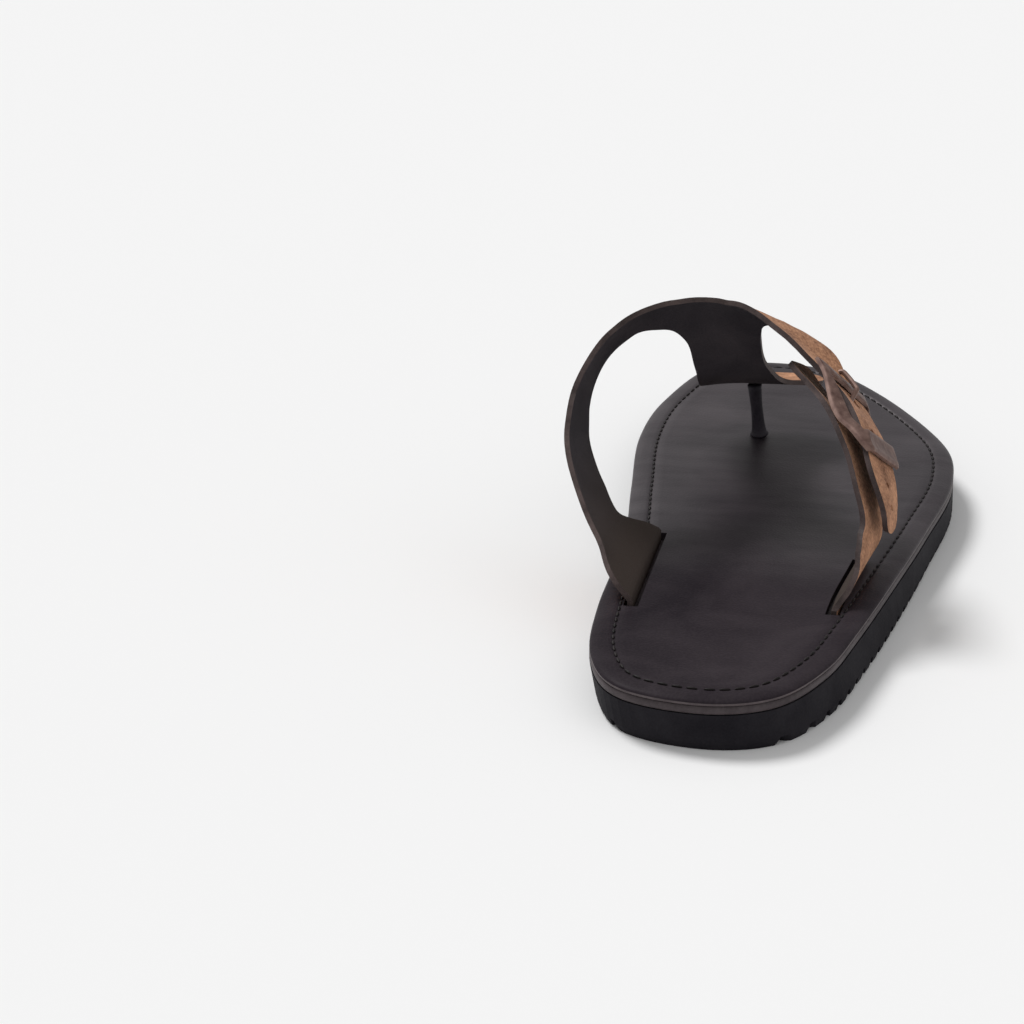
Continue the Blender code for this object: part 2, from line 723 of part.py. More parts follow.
def prong_points():
    """From the pin, under the long strap, up through its hole and over the top bar."""
    bar = (PLATE_END_AT - TOP_BAR_AT) * FRAME_SIDES[1][0]
    off_pin = turns(PIN_RADIUS + GAP + PRONG_RADIUS)
    rows = [
        (PIN_AT - off_pin, PIN_LIFT), (PRONG_HOLE_AT + bar * 0.50, PIN_LIFT),
        (PRONG_HOLE_AT + bar * 0.16, STRAP * 0.1), (PRONG_HOLE_AT, STRAP * 0.9),
    ]
    rows += [round_bar(TOP_BAR_AT + bar, degrees) for degrees in (0, 45, 90)]
    rows += [round_bar(TOP_BAR_AT, degrees) for degrees in (90, 135, 170)]
    points = []
    for turn, lift, _ in open_curve([(turn, lift, 0) for turn, lift in rows], 4):
        here, normal = buckle_seat(turn)
        points.append(here + normal * lift)
    return points


def build_prong():
    mesh = tube("prong", prong_points(), PRONG_RADIUS, 2)
    shade(link(mesh, "prong", METAL), 40)


def pole(name, place, direction, radius, depth):
    bm = bmesh.new()
    bmesh.ops.create_cone(bm, cap_ends=True, segments=20, radius1=radius, radius2=radius,
                          depth=depth)
    turn = direction.to_track_quat("Z", "Y").to_matrix().to_4x4()
    bmesh.ops.transform(bm, matrix=Matrix.Translation(place) @ turn, verts=bm.verts)
    return cutter(mesh_from(bm, name), name)


def build_straps():
    upper = strap_piece("upper", upper_outline(), long_lift, STRAP, SUEDE)
    for name, turn in (("prong_hole", PRONG_HOLE_AT),
                       ("prong_hole_pulled", PRONG_HOLE_AT + HOLE_STRETCH)):
        hole = across(turn, 0.5)
        place = over_last(hole.x, hole.y, STRAP / 2)
        cut(upper, pole(name, place, last_normal(*hole), HOLE_RADIUS, STRAP * 4))
    shade(upper, 50)
    shade(strap_piece("buckle_strap", short_outline(), tab_lift, STRAP, SUEDE), 50)


# Footbed: domed to its edge, with a slot for each strap and a hole for the post
def slot_cutter(name, side, near, far, lift):
    bm = bmesh.new()
    rows = []
    steps = 8
    low, high = FOOTBED_LOW - 0.002, FOOT + 0.004
    for step in range(steps + 1):
        y = near + (far - near) * step / steps
        base = last_point(2.0 * side, y).x
        inner = base + side * (lift - SLOT_PLAY * 1.6)
        outer = base + side * (lift + STRAP + SLOT_PLAY)
        rows.append([bm.verts.new((x, y, z)) for x, z in (
            (inner, low), (outer, low), (outer, high), (inner, high))])
    for first, second in zip(rows, rows[1:]):
        for corner in range(4):
            after = (corner + 1) % 4
            bm.faces.new((first[corner], first[after], second[after], second[corner]))
    bm.faces.new(rows[0])
    bm.faces.new(list(reversed(rows[-1])))
    bmesh.ops.recalc_face_normals(bm, faces=bm.faces)
    return cutter(mesh_from(bm, name), name)


def build_footbed():
    rim = FOOTBED_LOW + FOOTBED_RIM
    rise = FOOT - rim
    levels = (
        (0.0, FOOTBED_LOW, 0.0), (0.0, rim, 0.0), (FOOTBED_ROUND * 0.22, rim + rise * 0.50, 0.0),
        (FOOTBED_ROUND * 0.55, rim + rise * 0.86, 0.0), (FOOTBED_ROUND, FOOT, 0.0),
    )
    footbed = link(mesh_from(slab(levels), "footbed"), "footbed", INSOLE)
    play = SLOT_PLAY
    slots = (
        ("inner_slot", -1, REAR_EDGE[0], INNER_FRONT_EDGE[-1], INNER_LIFT),
        ("outer_slot", 1, SHORT_STRAP[0], SHORT_STRAP[-1], 0.0),
    )
    for name, side, rear, front, lift in slots:
        near = rear[1] * LENGTH - play
        far = front[1] * LENGTH + play
        cut(footbed, slot_cutter(name, side, near, far, lift))
    spot = post_foot()
    cut(footbed, pole("post_hole", spot, Vector((0, 0, 1)), POST_RADIUS + GAP, 0.02))
    baked(footbed)
    bend(footbed.data)
    shade(footbed, 35)


# Toe post and its rivet cap
def post_foot():
    return Vector((POST_AT[0] * BALL_WIDTH, POST_AT[1] * LENGTH, FOOT))


def turned(name, profile, steps, place, direction, mat):
    """A turned piece: its profile runs down the outer side, spun by a Screw."""
    bm = bmesh.new()
    verts = [bm.verts.new((radius, 0, height)) for radius, height in profile]
    for upper_vert, lower_vert in zip(verts, verts[1:]):
        bm.edges.new((upper_vert, lower_vert))
    obj = link(mesh_from(bm, name), name, mat)
    screw = obj.modifiers.new("turn", "SCREW")
    screw.steps = steps
    screw.render_steps = steps
    screw.use_merge_vertices = True
    screw.merge_threshold = 1e-5
    obj.location = place
    obj.rotation_mode = "QUATERNION"
    obj.rotation_quaternion = direction.to_track_quat("Z", "Y")
    return obj


def build_post():
    foot = post_foot()
    turn, at = POST_TOP
    under_bar = over_last(turn, at * LENGTH, long_lift(turn) - GAP)
    lean = under_bar - foot
    tall = lean.length - POST_RADIUS * 0.30
    deep = FOOTBED - GAP
    profile = (
        (0.0, tall), (POST_RADIUS * 1.25, tall), (POST_RADIUS * 1.02, tall - 0.004),
        (POST_RADIUS * 0.96, tall * 0.5), (POST_RADIUS * 1.08, tall * 0.22),
        (POST_FLARE * 0.85, tall * 0.07), (POST_FLARE, GAP * 2.5), (POST_RADIUS, GAP * 2),
        (POST_RADIUS * 0.94, -deep), (0.0, -deep),
    )
    shade(turned("toe_post", profile, 20, foot, lean, CORD), 40)


def build_cap():
    turn, y = CAP_AT[0], CAP_AT[1] * LENGTH
    normal = last_normal(turn, y)
    seat = over_last(turn, y, long_lift(turn) + STRAP + GAP * 2)
    rows = 5
    profile = [(0.0, CAP_RISE)]
    for row in range(1, rows):
        angle = math.pi / 2 * row / rows
        profile.append((CAP_RADIUS * math.sin(angle), CAP_RISE * (0.3 + 0.7 * math.cos(angle))))
    profile += [(CAP_RADIUS, CAP_RISE * 0.3), (CAP_RADIUS * 0.96, 0.0), (0.0, 0.0)]
    shade(turned("rivet_cap", profile, 20, seat, normal, METAL), 40)


def centre_all():
    """Move everything so that the middle of the whole shoe's box is over the origin."""
    bpy.context.view_layer.update()
    graph = bpy.context.evaluated_depsgraph_get()
    low = Vector((1.0, 1.0, 1.0))
    high = -low
    for obj in SANDAL.objects:
        solid = obj.evaluated_get(graph)
        for vert in solid.data.vertices:
            place = solid.matrix_world @ vert.co
            low = Vector(map(min, low, place))
            high = Vector(map(max, high, place))
    shift = Vector(((low.x + high.x) / 2, (low.y + high.y) / 2, low.z))
    for obj in list(SANDAL.objects) + list(CUTTERS.objects):
        obj.location -= shift


build_outsole()
build_midsole()
build_footbed()
build_straps()
build_post()
build_cap()
build_buckle()
build_prong()
centre_all()
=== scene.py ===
# Looks of a toe post sandal, one right foot's shoe standing empty on a pale floor.
import math

import bmesh
import bpy
from mathutils import Matrix, Vector, noise


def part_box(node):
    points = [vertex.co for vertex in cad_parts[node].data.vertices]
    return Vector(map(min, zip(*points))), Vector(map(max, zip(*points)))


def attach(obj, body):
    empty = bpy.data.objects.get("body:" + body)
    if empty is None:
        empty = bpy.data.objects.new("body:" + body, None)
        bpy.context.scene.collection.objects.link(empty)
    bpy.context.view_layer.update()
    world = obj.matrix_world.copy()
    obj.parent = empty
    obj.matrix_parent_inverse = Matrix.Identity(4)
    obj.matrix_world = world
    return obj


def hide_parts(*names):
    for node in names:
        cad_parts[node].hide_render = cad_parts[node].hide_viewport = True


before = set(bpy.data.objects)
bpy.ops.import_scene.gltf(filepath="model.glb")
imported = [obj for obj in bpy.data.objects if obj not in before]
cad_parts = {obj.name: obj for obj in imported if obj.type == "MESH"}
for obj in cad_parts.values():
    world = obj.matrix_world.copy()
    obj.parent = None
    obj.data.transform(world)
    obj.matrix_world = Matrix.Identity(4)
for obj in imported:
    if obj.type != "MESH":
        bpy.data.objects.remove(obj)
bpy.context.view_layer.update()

# Camera: the photograph's angle, above and behind the heel, a little to the outer side.
# The shoe's own frame has its heel end at y 0, so everything is placed from the midsole.
rim_low = Vector(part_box("midsole")[0])
HEEL = Vector((rim_low.x + 0.04502, rim_low.y + 0.00114, 0.0))
camera = bpy.data.cameras.new("camera")
camera.sensor_width = 36.0
camera.lens = 105.47
camera_object = bpy.data.objects.new("camera", camera)
bpy.context.scene.collection.objects.link(camera_object)
camera_object.location = HEEL + Vector((0.0818, -0.7194, 0.338))
camera_object.rotation_euler = (math.radians(69.42), 0.0, 0.181)
bpy.context.scene.camera = camera_object


# Floor: a pale seamless sheet of card under an even white studio, with one broad light from
# the left and past the toe, so that the shadow falls soft, to the right and to the front.
def linear(red, green, blue):
    """A colour read as 0 to 255, as the shader wants it."""
    shares = [value / 255 for value in (red, green, blue)]
    return [share / 12.92 if share < 0.04045 else ((share + 0.055) / 1.055) ** 2.4
            for share in shares] + [1.0]


def shader_of(name, roughness):
    """A new material and its shader, with the roughness set on the socket."""
    mat = bpy.data.materials.new(name)
    mat.use_nodes = True
    shader = mat.node_tree.nodes["Principled BSDF"]
    shader.inputs["Roughness"].default_value = roughness
    return mat, shader


def piece_of(bm, name, *finishes):
    """The object that a finished bmesh makes, with its materials in their slots' order."""
    mesh = bpy.data.meshes.new(name)
    bm.to_mesh(mesh)
    bm.free()
    for finish in finishes:
        mesh.materials.append(finish)
    piece = bpy.data.objects.new(name, mesh)
    bpy.context.scene.collection.objects.link(piece)
    return piece


card, card_shader = shader_of("pale_card", 0.95)
card_shader.inputs["Base Color"].default_value = linear(243, 243, 243)
card_shader.inputs["Specular IOR Level"].default_value = 0.0
bm = bmesh.new()
bmesh.ops.create_grid(bm, x_segments=2, y_segments=2, size=6.0)
piece_of(bm, "floor", card)

world = bpy.data.worlds.new("studio")
bpy.context.scene.world = world
world.use_nodes = True
world.node_tree.nodes["Background"].inputs["Color"].default_value = (1.0, 1.0, 1.0, 1.0)
world.node_tree.nodes["Background"].inputs["Strength"].default_value = 0.45
bpy.context.scene.view_settings.view_transform = "Standard"
for lamp_name, place, spread, power in (("key", (-0.60, 0.50, 1.0), 20.0, 2.05),
                                        ("fill", (0.9, -1.0, 1.4), 60.0, 0.22)):
    lamp = bpy.data.lights.new(lamp_name, "SUN")
    lamp.angle = math.radians(spread)
    lamp.energy = power
    lamp_object = bpy.data.objects.new(lamp_name, lamp)
    bpy.context.scene.collection.objects.link(lamp_object)
    lamp_object.location = place
    lamp_object.rotation_euler = (-Vector(place)).to_track_quat("-Z", "Y").to_euler()


# Leather and rubber share one kind of finish: patches of two tones, a fine grain in the
# tone, and a relief of pores or nap. Each piece below gives its own tones and sizes.
def grained(name, light, dark, patch, grain, roughness, relief, pores=False, speck=0.25,
            shine=0.16):
    mat, shader = shader_of(name, roughness)
    shader.inputs["Specular IOR Level"].default_value = shine
    nodes, links = mat.node_tree.nodes, mat.node_tree.links
    place = nodes.new("ShaderNodeTexCoord")
    broad = nodes.new("ShaderNodeTexNoise")
    broad.inputs["Scale"].default_value = patch
    broad.inputs["Detail"].default_value = 5.0
    broad.inputs["Distortion"].default_value = 0.6
    fine = nodes.new("ShaderNodeTexVoronoi" if pores else "ShaderNodeTexNoise")
    fine.inputs["Scale"].default_value = grain
    tone = nodes.new("ShaderNodeMix")
    tone.data_type = "FLOAT"
    tone.inputs["Factor"].default_value = speck
    ramp = nodes.new("ShaderNodeValToRGB")
    ramp.color_ramp.elements[0].position = 0.34
    ramp.color_ramp.elements[0].color = linear(*dark)
    ramp.color_ramp.elements[1].position = 0.68
    ramp.color_ramp.elements[1].color = linear(*light)
    bump = nodes.new("ShaderNodeBump")
    bump.inputs["Strength"].default_value = 0.6
    bump.inputs["Distance"].default_value = relief
    links.new(place.outputs["Object"], broad.inputs["Vector"])
    links.new(place.outputs["Object"], fine.inputs["Vector"])
    links.new(broad.outputs["Fac"], tone.inputs[2])
    links.new(fine.outputs["Distance" if pores else "Fac"], tone.inputs[3])
    links.new(tone.outputs[0], ramp.inputs["Fac"])
    links.new(ramp.outputs["Color"], shader.inputs["Base Color"])
    links.new(fine.outputs["Distance" if pores else "Fac"], bump.inputs["Height"])
    links.new(bump.outputs["Normal"], shader.inputs["Normal"])
    return mat


# Outsole: the CAD solid as it is, one block of dull black rubber with ripples below.
rubber = grained("sole_rubber", (42, 40, 44), (26, 24, 29), 70, 1600, 0.72, 0.00012, False,
                 0.25, 0.10)
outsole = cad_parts["outsole"]
outsole.data.materials.clear()
outsole.data.materials.append(rubber)

# Footbed: a leather cover drawn down over its rounded margin, with a sunk line for the
# stitches, a slot for each strap and the hole that the toe post stands in.
BALL_WIDTH, LENGTH, INSTEP = 0.103, 0.285, 0.066
GAP, MIDSOLE_TOP, FOOTBED, STRAP = 0.0003, 0.0123, 0.0024, 0.0016
FOOTBED_LOW = MIDSOLE_TOP + GAP
FOOT = FOOTBED_LOW + FOOTBED
OUTLINE = (
    (0.009, -0.004), (0.194, 0.022), (0.307, 0.097), (0.369, 0.192), (0.441, 0.333),
    (0.513, 0.487), (0.567, 0.639), (0.520, 0.768), (0.303, 0.912), (0.054, 0.991),
    (-0.268, 0.977), (-0.405, 0.860), (-0.437, 0.725), (-0.396, 0.556), (-0.353, 0.394),
    (-0.351, 0.213), (-0.320, 0.093), (-0.217, 0.019),
)


def spline(before, start, end, after, share):
    """A smooth curve's place between start and end."""
    square, cube = share * share, share ** 3
    return (2 * start + (end - before) * share
            + (2 * before - 5 * start + 4 * end - after) * square
            + (3 * start - before - 3 * end + after) * cube) * 0.5


def ring_of(inset, steps=14):
    """The sole's outline, drawn in by an inset."""
    points = [Vector((x * BALL_WIDTH, y * LENGTH)) for x, y in OUTLINE]
    count = len(points)
    curve = []
    for index in range(count):
        around = [points[(index + offset) % count] for offset in (-1, 0, 1, 2)]
        curve += [spline(*around, step / steps) for step in range(steps)]
    drawn = []
    for index, point in enumerate(curve):
        along = curve[(index + 1) % len(curve)] - curve[index - 1]
        drawn.append(point - Vector((along.y, -along.x)).normalized() * inset)
    return drawn


def spring(y):
    """How far the sole has risen toward the toe."""
    return 0.0035 * (max(y / LENGTH - 0.76, 0.0) / 0.24) ** 1.8


def smooth_step(value):
    """From 0 to 1 with an easy start and end."""
    value = min(max(value, 0.0), 1.0)
    return value * value * (3.0 - 2.0 * value)


def join_rings(bm, rings):
    """Wall faces from each ring of vertices to the next."""
    for lower, upper in zip(rings, rings[1:]):
        for index in range(len(lower)):
            after = (index + 1) % len(lower)
            bm.faces.new((lower[index], lower[after], upper[after], upper[index]))


def cross_cut(bm, flats, way, pitch, numbers):
    """Cut the flat top and underside at even steps along a way, so that they can bend."""
    for number in numbers:
        edges = list(dict.fromkeys(edge for face in flats for edge in face.edges))
        corners = list(dict.fromkeys(vert for face in flats for vert in face.verts))
        strips = bmesh.ops.bisect_plane(
            bm, geom=flats + edges + corners, dist=1e-6,
            plane_co=(number * pitch, number * pitch, 0), plane_no=way)
        flats = [item for item in strips["geom"] if isinstance(item, bmesh.types.BMFace)]
    return flats


# Midsole: a board of pressed leather between the rubber and the footbed. Its cut edge is
# sanded, waxed and a little rounded, and shows as the light band round the shoe.
band = grained("band_edge", (84, 76, 78), (60, 53, 55), 110, 1100, 0.50, 0.00008)
MIDSOLE_LOW = 0.01004
BOARD_STRIP = 0.010
bm = bmesh.new()
board = [[bm.verts.new((p.x, p.y, height)) for p in ring_of(inset)] for inset, height in (
    (0.0006, MIDSOLE_LOW), (0.0002, MIDSOLE_LOW + 0.0003), (0.0, MIDSOLE_LOW + 0.0008),
    (0.0, MIDSOLE_LOW + 0.0018), (0.0002, FOOTBED_LOW - 0.0003), (0.0005, FOOTBED_LOW - 0.00004))]
join_rings(bm, board)
flats = [bm.faces.new(list(reversed(board[0]))), bm.faces.new(board[-1])]
cross_cut(bm, flats, (0, 1, 0), BOARD_STRIP, range(1, int(LENGTH / BOARD_STRIP)))
for vert in bm.verts:
    vert.co.z += spring(vert.co.y)
board_piece = piece_of(bm, "midsole_board", band)
board_piece.data.transform(Matrix.Translation(HEEL))
board_piece.data.shade_smooth()
board_piece.data.set_sharp_from_angle(angle=math.radians(50))
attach(board_piece, "root")
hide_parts("midsole")

# The cover is made of rings of the outline, drawn in and raised over the margin, with a
# cut wall below, painted paler as a painted highlight along the margin's lower edge.
# Cut wall of the cover: its pale tones are a painted highlight, the bright line along the top of
# the band.
pale_wall_painted_highlight = grained("cover_edge_painted_highlight", (100, 91, 92), (74, 66, 68), 140, 1100, 0.48, 0.00006)
COVER_STRIP = 0.006
RIM = FOOTBED_LOW + 0.0009
RISE = FOOT - RIM
rings = (
    (0.0003, FOOTBED_LOW), (0.0, FOOTBED_LOW + 0.0003), (0.0, RIM - 0.0001),
    (0.0006, RIM + RISE * 0.30), (0.0014, RIM + RISE * 0.50), (0.0024, RIM + RISE * 0.70),
    (0.0036, RIM + RISE * 0.86), (0.0048, RIM + RISE * 0.93), (0.0056, FOOT - 0.0001),
    (0.0061, FOOT - 0.0003), (0.0065, FOOT - 0.0005), (0.0069, FOOT - 0.0003),
    (0.0074, FOOT), (0.0100, FOOT),
)
bm = bmesh.new()
levels = [[bm.verts.new((p.x, p.y, height)) for p in ring_of(inset)] for inset, height in rings]
join_rings(bm, levels)
flats = [bm.faces.new(list(reversed(levels[0]))), bm.faces.new(levels[-1])]
flats = cross_cut(bm, flats, (0, 1, 0), COVER_STRIP, range(1, int(LENGTH / COVER_STRIP)))
cross_cut(bm, flats, (1, 0, 0), COVER_STRIP, range(-8, 10))
for face in bm.faces:
    face.material_index = 1 if max(vert.co.z for vert in face.verts) < RIM + 0.0001 else 0
cover = grained("footbed_leather", (56, 50, 54), (34, 29, 34), 30, 1300, 0.46, 0.00006, True,
                0.14, 0.10)
# Rubbed to a sheen where the foot has pressed, ahead of the heel, in streaks across.
nodes, links = cover.node_tree.nodes, cover.node_tree.links
place = nodes.new("ShaderNodeTexCoord")
split = nodes.new("ShaderNodeSeparateXYZ")
ahead = nodes.new("ShaderNodeMapRange")
ahead.interpolation_type = "SMOOTHSTEP"
ahead.inputs["From Min"].default_value = HEEL.y + 0.26 * LENGTH
ahead.inputs["From Max"].default_value = HEEL.y + 0.46 * LENGTH
stretch = nodes.new("ShaderNodeMapping")
stretch.inputs["Scale"].default_value = (0.30, 1.0, 1.0)
streaks = nodes.new("ShaderNodeTexNoise")
streaks.inputs["Scale"].default_value = 95.0
streaks.inputs["Detail"].default_value = 4.0
sheen = nodes.new("ShaderNodeMath")
sheen.operation = "MULTIPLY"
level = nodes.new("ShaderNodeMapRange")
level.inputs["From Max"].default_value = 0.62
level.inputs["To Min"].default_value = 0.03
level.inputs["To Max"].default_value = 0.42
links.new(place.outputs["Object"], split.inputs["Vector"])
links.new(place.outputs["Object"], stretch.inputs["Vector"])
links.new(stretch.outputs["Vector"], streaks.inputs["Vector"])
links.new(split.outputs["Y"], ahead.inputs["Value"])
links.new(ahead.outputs["Result"], sheen.inputs[0])
links.new(streaks.outputs["Fac"], sheen.inputs[1])
links.new(sheen.outputs["Value"], level.inputs["Value"])
links.new(level.outputs["Result"], nodes["Principled BSDF"].inputs["Specular IOR Level"])
nodes["Principled BSDF"].inputs["Specular Tint"].default_value = (1.0, 0.90, 0.92, 1.0)
footbed = piece_of(bm, "footbed_cover", cover, pale_wall_painted_highlight)


# The last: sections from heel to toe that every strap is laid over. Each is an arch of four
# quarters, and a pattern's (turn, y) finds its place on it.
TURN = 0.050
SLOT_RISE = 0.0008
# at, ridge x, h, medial x, h, lateral x, h, slot medial, slot lateral, full medial, lateral
SECTIONS = (
    (0.175, -0.097, 1.303, -0.476, 0.515, 0.335, 0.258, -0.267, 0.282, 0.60, 0.22),
    (0.263, -0.117, 1.242, -0.500, 0.561, 0.372, 0.258, -0.266, 0.296, 0.60, 0.22),
    (0.351, -0.126, 1.174, -0.515, 0.576, 0.408, 0.242, -0.264, 0.325, 0.60, 0.27),
    (0.414, -0.136, 1.126, -0.515, 0.545, 0.429, 0.235, -0.262, 0.345, 0.60, 0.27),
    (0.470, -0.136, 1.080, -0.502, 0.508, 0.440, 0.227, -0.264, 0.354, 0.60, 0.19),
    (0.516, -0.133, 1.000, -0.485, 0.455, 0.443, 0.205, -0.267, 0.359, 0.60, 0.20),
    (0.554, -0.126, 0.871, -0.466, 0.394, 0.441, 0.182, -0.268, 0.359, 0.60, 0.44),
    (0.589, -0.117, 0.720, -0.447, 0.333, 0.437, 0.152, -0.270, 0.359, 0.60, 0.52),
    (0.632, -0.102, 0.545, -0.422, 0.258, 0.432, 0.121, -0.272, 0.359, 0.58, 0.50),
    (0.674, -0.087, 0.409, -0.408, 0.182, 0.427, 0.091, -0.272, 0.359, 0.56, 0.52),
    (0.723, -0.068, 0.326, -0.388, 0.121, 0.427, 0.061, -0.272, 0.350, 0.55, 0.55),
    (0.789, -0.058, 0.273, -0.369, 0.091, 0.408, 0.045, -0.262, 0.340, 0.55, 0.55),
)


def section(y):
    """The last's values at a length, run smoothly between its sections."""
    at = min(max(y / LENGTH, SECTIONS[0][0]), SECTIONS[-1][0])
    index = max(number for number in range(len(SECTIONS) - 1) if SECTIONS[number][0] <= at)
    first, second = SECTIONS[index], SECTIONS[index + 1]
    before = SECTIONS[max(index - 1, 0)]
    after = SECTIONS[min(index + 2, len(SECTIONS) - 1)]
    span = second[0] - first[0]
    share = (at - first[0]) / span
    values = []
    for column in range(1, len(first)):
        rise_in = (second[column] - before[column]) / (second[0] - before[0]) * span
        rise_out = (after[column] - first[column]) / (after[0] - first[0]) * span
        values.append(
            (2 * share ** 3 - 3 * share ** 2 + 1) * first[column]
            + (share ** 3 - 2 * share ** 2 + share) * rise_in
            + (3 * share ** 2 - 2 * share ** 3) * second[column]
            + (share ** 3 - share ** 2) * rise_out)
    return values


def last_point(turn, y):
    """A place on the last: turn 0 is the ridge, 1 the widest and 2 the slot."""
    ridge_x, ridge_h, in_x, in_h, out_x, out_h, slot_in, slot_out, full_in, full_out = section(y)
    ridge = Vector((ridge_x * BALL_WIDTH, ridge_h * INSTEP))
    wide, slot, full = Vector((in_x * BALL_WIDTH, in_h * INSTEP)), slot_in, full_in
    if turn >= 0:
        wide, slot, full = Vector((out_x * BALL_WIDTH, out_h * INSTEP)), slot_out, full_out
    slot = Vector((slot * BALL_WIDTH, SLOT_RISE))
    around = abs(turn)
    if around > 2:
        return Vector((slot.x, y, FOOT + SLOT_RISE - (around - 2) * TURN))
    if around <= 1:
        ends = (ridge, ridge + Vector((full * (wide.x - ridge.x), 0)),
                wide + Vector((0, full * (ridge.y - wide.y))), wide)
    else:
        around -= 1
        ends = (wide, wide - Vector((0, 0.45 * wide.y)),
                slot + Vector((0.22 * (wide.x - slot.x), 0.14 * wide.y)), slot)
    left = 1 - around
    point = (ends[0] * left ** 3 + ends[1] * 3 * left * left * around
             + ends[2] * 3 * left * around * around + ends[3] * around ** 3)
    return Vector((point.x, y, FOOT + point.y))


def last_normal(turn, y):
    """Which way is out from the last."""
    round_it = last_point(turn + 0.012, y) - last_point(turn - 0.012, y)
    along_it = last_point(turn, y + 0.0006) - last_point(turn, y - 0.0006)
    return round_it.cross(along_it).normalized()


def over_last(turn, y, lift):
    """A place lifted off the last."""
    return last_point(turn, y) + last_normal(turn, y) * lift


# Slots and post hole, cut through the cover. A slot's walls follow the strap's foot.
REAR_EDGE = (
    (-2, 0.21), (-1.76, 0.222), (-1.565, 0.269), (-1.37, 0.306), (-1.19, 0.339),
    (-1, 0.372), (-0.8, 0.418), (-0.58, 0.464), (-0.4, 0.497), (-0.24, 0.514),
    (0, 0.524), (0.1, 0.52), (0.19, 0.508), (0.275, 0.492), (0.356, 0.476),
    (0.458, 0.463), (0.55, 0.435), (0.651, 0.392), (0.719, 0.36), (0.801, 0.338),
    (0.9, 0.329),
)
TIP_EDGE = ((1.0, 0.327), (1.1, 0.332), (1.17, 0.347), (1.175, 0.366))
OUTER_FRONT_EDGE = (
    (1.11, 0.376), (1.02, 0.383), (0.92, 0.393), (0.81, 0.418), (0.7, 0.46),
    (0.6, 0.508), (0.5, 0.536), (0.38, 0.55), (0.27, 0.553), (0.19, 0.556),
)
STEM_EDGE = (
    (0.142, 0.564), (0.116, 0.583), (0.106, 0.607), (0.107, 0.632), (0.12, 0.655),
    (0.138, 0.682), (0.178, 0.704), (0.236, 0.72), (0.266, 0.742), (0.24, 0.768),
    (0.15, 0.782), (-0.02, 0.786), (-0.19, 0.782), (-0.31, 0.766), (-0.352, 0.738),
    (-0.345, 0.708), (-0.312, 0.68), (-0.28, 0.652), (-0.262, 0.628), (-0.24, 0.602),
    (-0.245, 0.585), (-0.285, 0.568),
)
INNER_FRONT_EDGE = (
    (-0.367, 0.5546), (-0.492, 0.5386), (-0.6, 0.529), (-0.753, 0.507), (-0.874, 0.489),
    (-0.975, 0.474), (-1.1, 0.46), (-1.222, 0.438), (-1.336, 0.418), (-1.445, 0.3945),
    (-1.54, 0.372), (-1.63, 0.362), (-1.72, 0.374), (-1.85, 0.397), (-2, 0.409),
)
SHORT_STRAP = (
    (2, 0.222), (1.72, 0.238), (1.45, 0.258), (1.24, 0.281), (0.995, 0.305),
    (0.825, 0.327), (0.734, 0.351), (0.656, 0.373), (0.574, 0.404), (0.507, 0.435),
    (0.452, 0.459), (0.416, 0.480), (0.408, 0.502), (0.430, 0.519), (0.480, 0.517),
    (0.55, 0.496), (0.64, 0.464), (0.76, 0.430), (0.93, 0.402), (1.15, 0.386),
    (1.4, 0.377), (1.7, 0.372), (2, 0.368),
)
PIN = 0.00085
INNER_LIFT = -0.0014
TAB_LIFT = -(GAP * 2 + PIN * 2 + STRAP + 0.0013)
POST_X, POST_Y = -0.058 * BALL_WIDTH, 0.744 * LENGTH
POST_TOP = (-0.025, 0.738 * LENGTH)
POST_HOLE = 0.0023
PLAY = 0.0010


def long_lift(turn):
    """The upper lies inside on the inner side and rises a little at its tip."""
    inside = INNER_LIFT * (1.0 - smooth_step(turn / 0.30))
    return inside + 0.0015 * smooth_step((turn - 0.95) / 0.30)


def tab_lift(turn):
    """The short strap goes down inside the long one by both walls and the pin."""
    return TAB_LIFT * smooth_step((1.60 - turn) / 0.60)


cutters = []
for side, near, far, lift in ((-1, REAR_EDGE[0][1], INNER_FRONT_EDGE[-1][1], INNER_LIFT),
                              (1, SHORT_STRAP[0][1], SHORT_STRAP[-1][1], 0.0)):
    bm = bmesh.new()
    rows = []
    for step in range(13):
        y = (near + (far - near) * step / 12) * LENGTH + PLAY * (step / 6 - 1)
        foot = last_point(2.0 * side, y).x
        inner = foot + side * (lift - PLAY * 1.6)
        outer = foot + side * (lift + STRAP + PLAY)
        rows.append([bm.verts.new((x, y, z)) for x, z in (
            (inner, FOOTBED_LOW - 0.001), (outer, FOOTBED_LOW - 0.001),
            (outer, FOOT + 0.003), (inner, FOOT + 0.003))])
    join_rings(bm, rows)
    bm.faces.new(rows[0])
    bm.faces.new(list(reversed(rows[-1])))
    bmesh.ops.recalc_face_normals(bm, faces=bm.faces)
    cutters.append(piece_of(bm, "slot_cutter"))
bm = bmesh.new()
bmesh.ops.create_cone(bm, cap_ends=True, segments=32, radius1=POST_HOLE, radius2=POST_HOLE,
                      depth=0.02)
bmesh.ops.translate(bm, vec=(POST_X, POST_Y, FOOT), verts=bm.verts)
cutters.append(piece_of(bm, "post_hole_cutter"))


def cut_out(piece, cutters, solver):
    """Cut each cutter's shape out of a piece, as its modifiers."""
    for cutter in cutters:
        cut = piece.modifiers.new(cutter.name, "BOOLEAN")
        cut.solver = solver
        cut.object = cutter
    bpy.context.view_layer.update()


def settle(piece, cutters=()):
    """Apply a piece's modifiers, delete what cut it, and set it in the frame."""
    graph = bpy.context.evaluated_depsgraph_get()
    mesh = bpy.data.meshes.new_from_object(piece.evaluated_get(graph))
    piece.modifiers.clear()
    piece.data = mesh
    mesh.name = piece.name
    for cutter in cutters:
        bpy.data.objects.remove(cutter, do_unlink=True)
    mesh.transform(Matrix.Translation(HEEL))
    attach(piece, "root")


cut_out(footbed, cutters, "EXACT")
settle(footbed, cutters)
